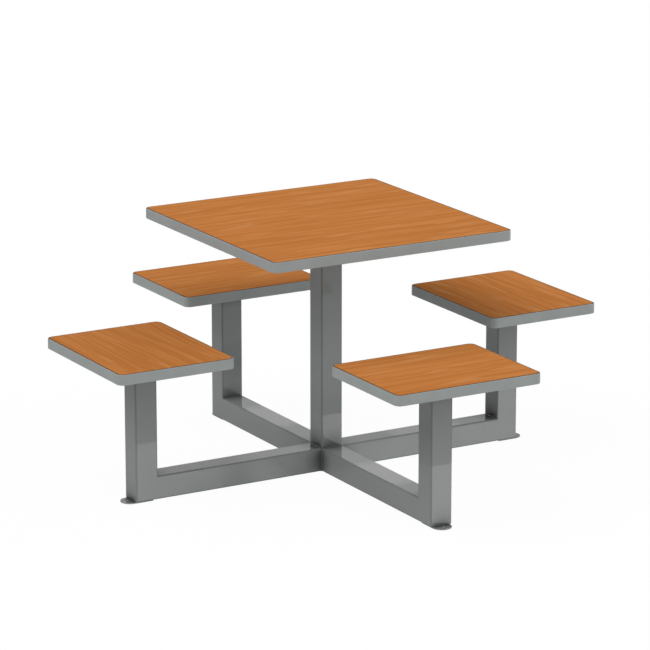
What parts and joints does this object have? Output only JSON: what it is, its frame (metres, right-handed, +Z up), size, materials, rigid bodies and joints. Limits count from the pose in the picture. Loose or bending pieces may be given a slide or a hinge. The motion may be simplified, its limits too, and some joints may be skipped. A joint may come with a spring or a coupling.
{
  "type": "table with attached stools",
  "caption": "Square laminate table on a centre post, with a rectangular stool on each side carried by a cross-shaped frame of square steel tube.",
  "frame": {"origin": "on the floor, under the middle of the table", "axes": "+Z up, +X along the arm of the right stool, +Y along the arm of the back stool"},
  "size_m": [1.5416, 1.5416, 0.7345],
  "materials": {
    "laminate": "cherry wood-grain high-pressure laminate, satin",
    "edge_band": "grey moulded edge band, satin",
    "board_core": "bare particle board",
    "backer": "plain brown backer sheet, matte",
    "frame_paint": "grey powder coat, semi-gloss",
    "screw_steel": "zinc-plated steel"
  },
  "bodies": {
    "root": {"table_laminate": "laminate", "table_edge_band": "edge_band", "table_core": "board_core", "table_backer": "backer", "table_mounting_plate": "frame_paint", "table_screw_1": "screw_steel", "table_screw_2": "screw_steel", "table_screw_3": "screw_steel", "table_screw_4": "screw_steel", "centre_post": "frame_paint", "right_arm": "frame_paint", "right_seat_post": "frame_paint", "right_foot_plate": "frame_paint", "right_seat_laminate": "laminate", "right_seat_edge_band": "edge_band", "right_seat_core": "board_core", "right_seat_backer": "backer", "right_seat_mounting_plate": "frame_paint", "right_seat_screw_1": "screw_steel", "right_seat_screw_2": "screw_steel", "right_seat_screw_3": "screw_steel", "right_seat_screw_4": "screw_steel", "back_arm": "frame_paint", "back_seat_post": "frame_paint", "back_foot_plate": "frame_paint", "back_seat_laminate": "laminate", "back_seat_edge_band": "edge_band", "back_seat_core": "board_core", "back_seat_backer": "backer", "back_seat_mounting_plate": "frame_paint", "back_seat_screw_1": "screw_steel", "back_seat_screw_2": "screw_steel", "back_seat_screw_3": "screw_steel", "back_seat_screw_4": "screw_steel", "left_arm": "frame_paint", "left_seat_post": "frame_paint", "left_foot_plate": "frame_paint", "left_seat_laminate": "laminate", "left_seat_edge_band": "edge_band", "left_seat_core": "board_core", "left_seat_backer": "backer", "left_seat_mounting_plate": "frame_paint", "left_seat_screw_1": "screw_steel", "left_seat_screw_2": "screw_steel", "left_seat_screw_3": "screw_steel", "left_seat_screw_4": "screw_steel", "front_arm": "frame_paint", "front_seat_post": "frame_paint", "front_foot_plate": "frame_paint", "front_seat_laminate": "laminate", "front_seat_edge_band": "edge_band", "front_seat_core": "board_core", "front_seat_backer": "backer", "front_seat_mounting_plate": "frame_paint", "front_seat_screw_1": "screw_steel", "front_seat_screw_2": "screw_steel", "front_seat_screw_3": "screw_steel", "front_seat_screw_4": "screw_steel"}
  },
  "joints": []
}
